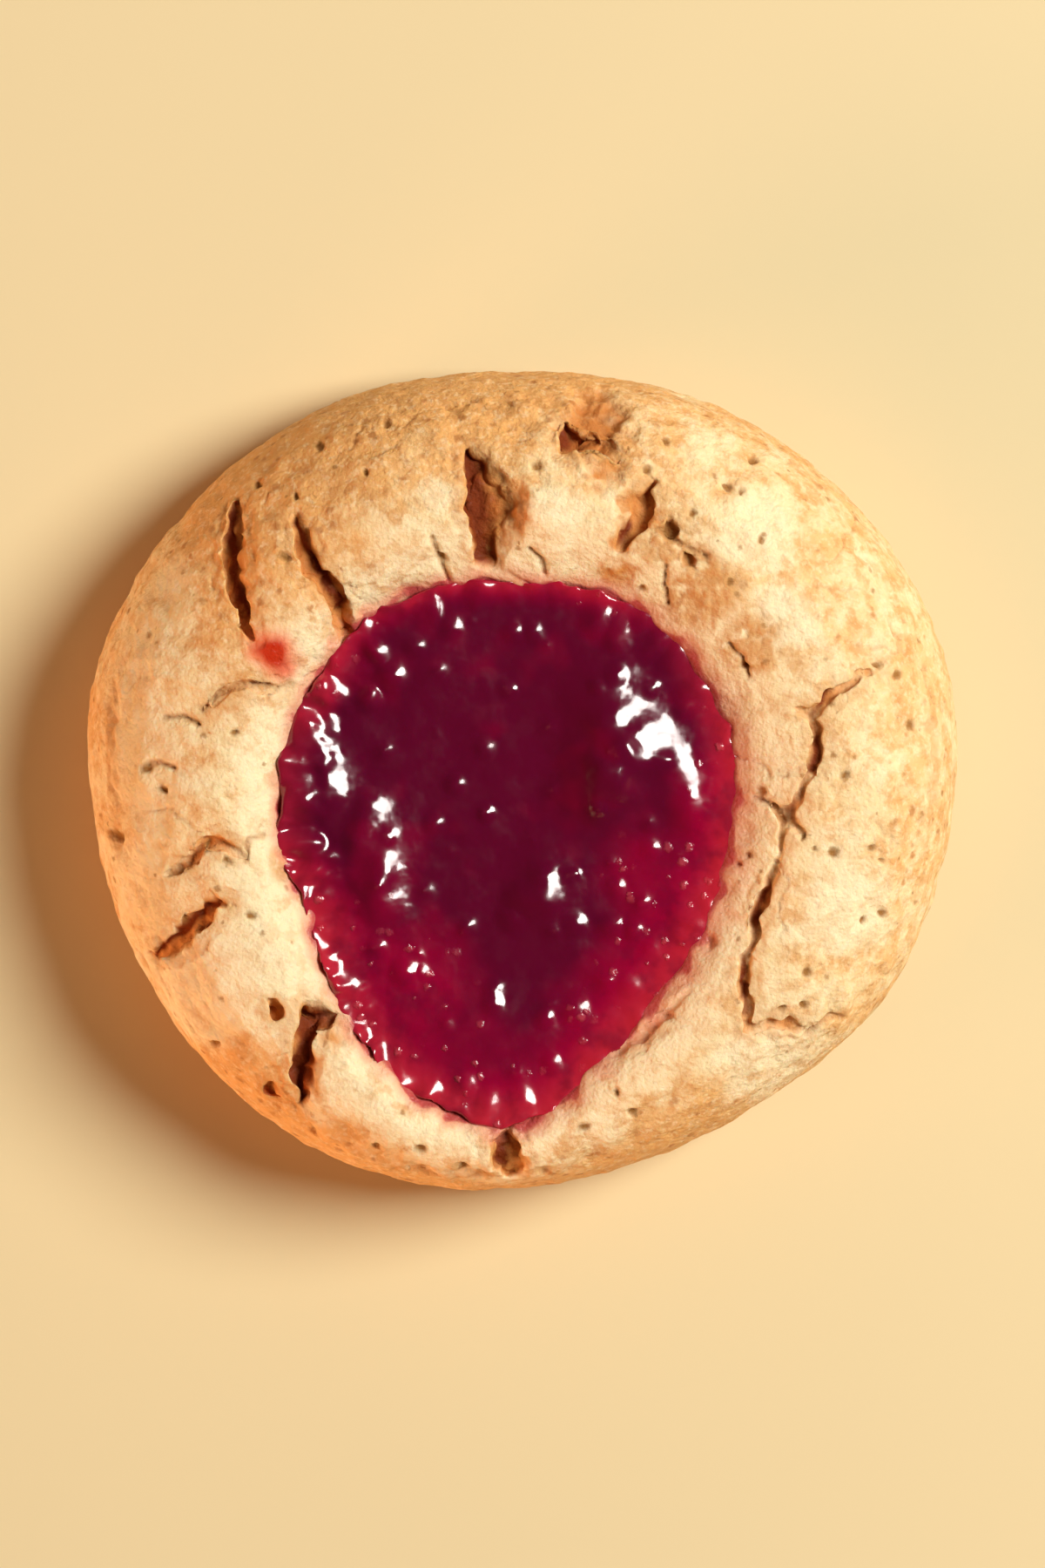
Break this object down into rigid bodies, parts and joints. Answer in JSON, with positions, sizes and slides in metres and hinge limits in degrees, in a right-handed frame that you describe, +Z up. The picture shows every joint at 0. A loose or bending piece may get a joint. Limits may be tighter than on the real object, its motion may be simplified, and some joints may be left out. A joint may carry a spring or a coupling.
{
  "type": "thumbprint cookie",
  "caption": "Thick round baked cookie with a cracked rim and a pressed hollow that is filled with glossy seeded jam; lies on its flat base.",
  "frame": {"origin": "on the flat base, under the middle of the cookie's outline", "axes": "+Z up; +X to the right and +Y away from the viewer of the picture, which looks down on the cookie"},
  "size_m": [0.0584, 0.055, 0.0161],
  "materials": {
    "baked_dough": "dry, sandy baked dough, pale on top and golden brown on its shoulder",
    "berry_jam": "wet and glossy, dark crimson with brighter red where it is thin"
  },
  "bodies": {
    "root": {"cookie_dough": "baked_dough", "jam": "berry_jam"}
  },
  "joints": []
}
